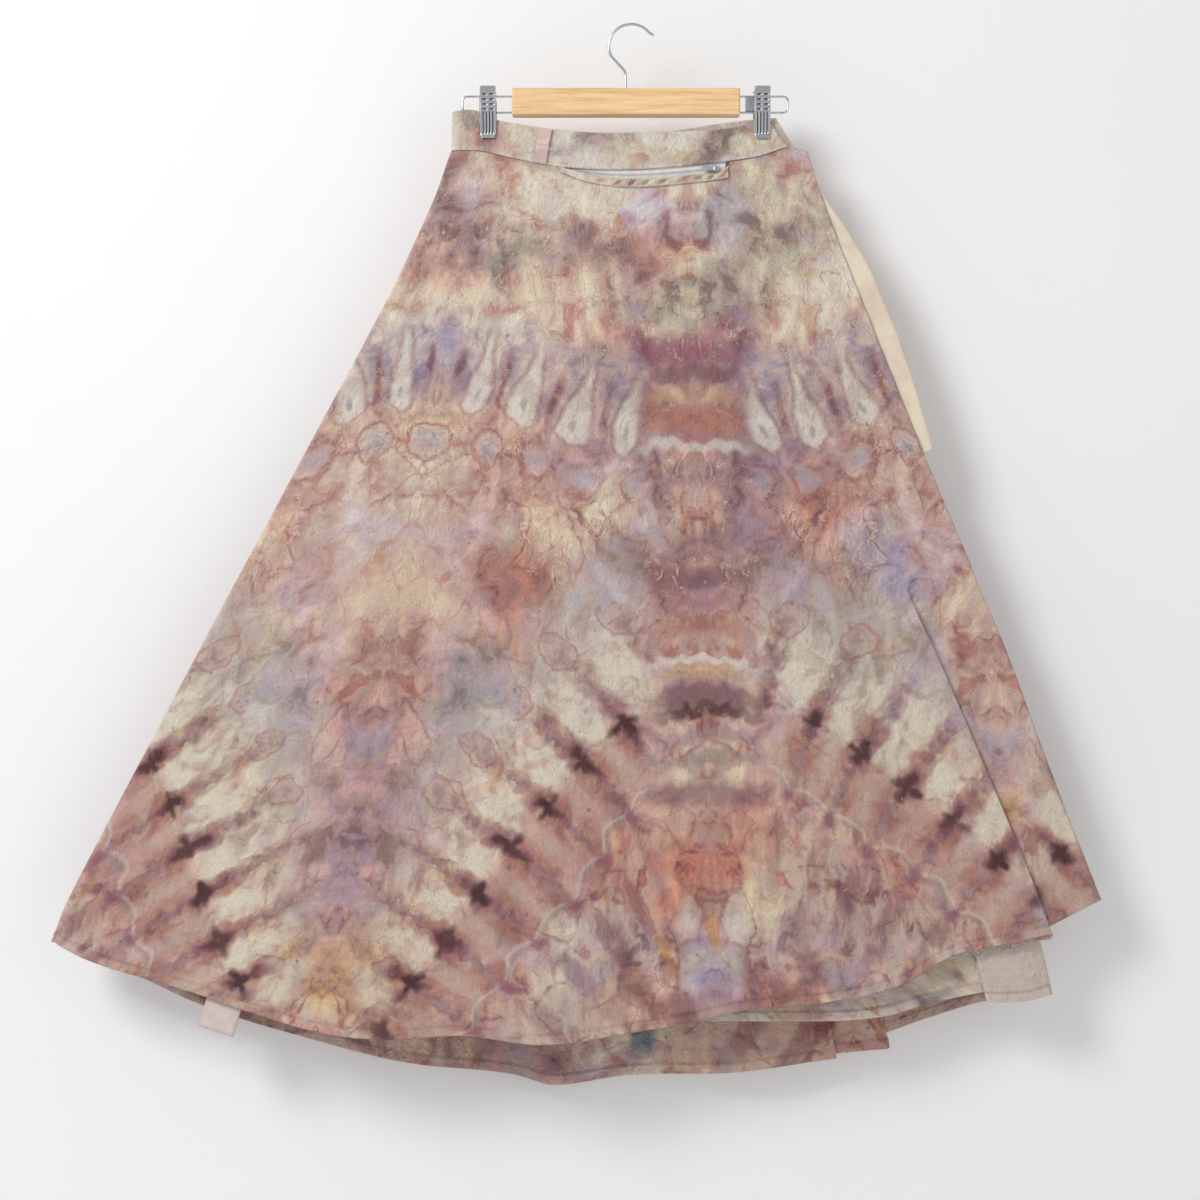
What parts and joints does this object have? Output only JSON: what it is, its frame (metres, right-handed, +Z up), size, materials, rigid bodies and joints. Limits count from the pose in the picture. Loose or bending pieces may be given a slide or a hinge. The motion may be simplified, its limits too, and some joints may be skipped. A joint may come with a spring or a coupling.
{
  "type": "wrap skirt on clip hanger",
  "caption": "Long flared wrap skirt of tie-dyed cotton with a zip pocket and tie straps, hung flat by its waistband from a wooden bar hanger with wire loop and metal clips.",
  "frame": {"origin": "point inside the top of the hanger's hook, where a rod or nail carries it", "axes": "+Z up, the skirt's front faces -Y, +X to the right as seen from the front"},
  "size_m": [1.1167, 0.1118, 1.1417],
  "materials": {
    "dyed_cotton": "matt woven cotton, ice-dyed in cream, dusty pink, mauve, plum, sage and ochre",
    "cream_cotton": "matt woven cotton, pale cream",
    "zip_tape": "white woven tape with a pale coil",
    "nickel": "bright nickel-plated stamped steel",
    "chromed_wire": "bright drawn wire",
    "pale_pine": "pale softwood, thin satin lacquer"
  },
  "bodies": {
    "skirt": {"front_wrap_panel": "dyed_cotton", "under_wrap_panel": "dyed_cotton", "back_panel": "dyed_cotton", "waistband": "dyed_cotton", "pocket_lip": "dyed_cotton", "belt_loop": "cream_cotton", "right_tie": "cream_cotton", "left_tie": "cream_cotton", "zip_tape": "zip_tape", "zip_slider": "nickel", "hanger_bar": "pale_pine", "hanger_hook": "chromed_wire", "wire_loop": "chromed_wire", "left_clip_front": "nickel", "left_clip_back": "nickel", "left_clip_slide": "nickel", "right_clip_front": "nickel", "right_clip_back": "nickel", "right_clip_slide": "nickel"},
    "zip_pull": {"zip_pull": "nickel"}
  },
  "joints": [
    {"name": "zip_pull_swing", "type": "hinge", "parent": "skirt", "child": "zip_pull", "pos_m": [0.0885, -0.00983, -0.1548], "axis": [0, 0, 1], "range_deg": [0, 150]}
  ]
}
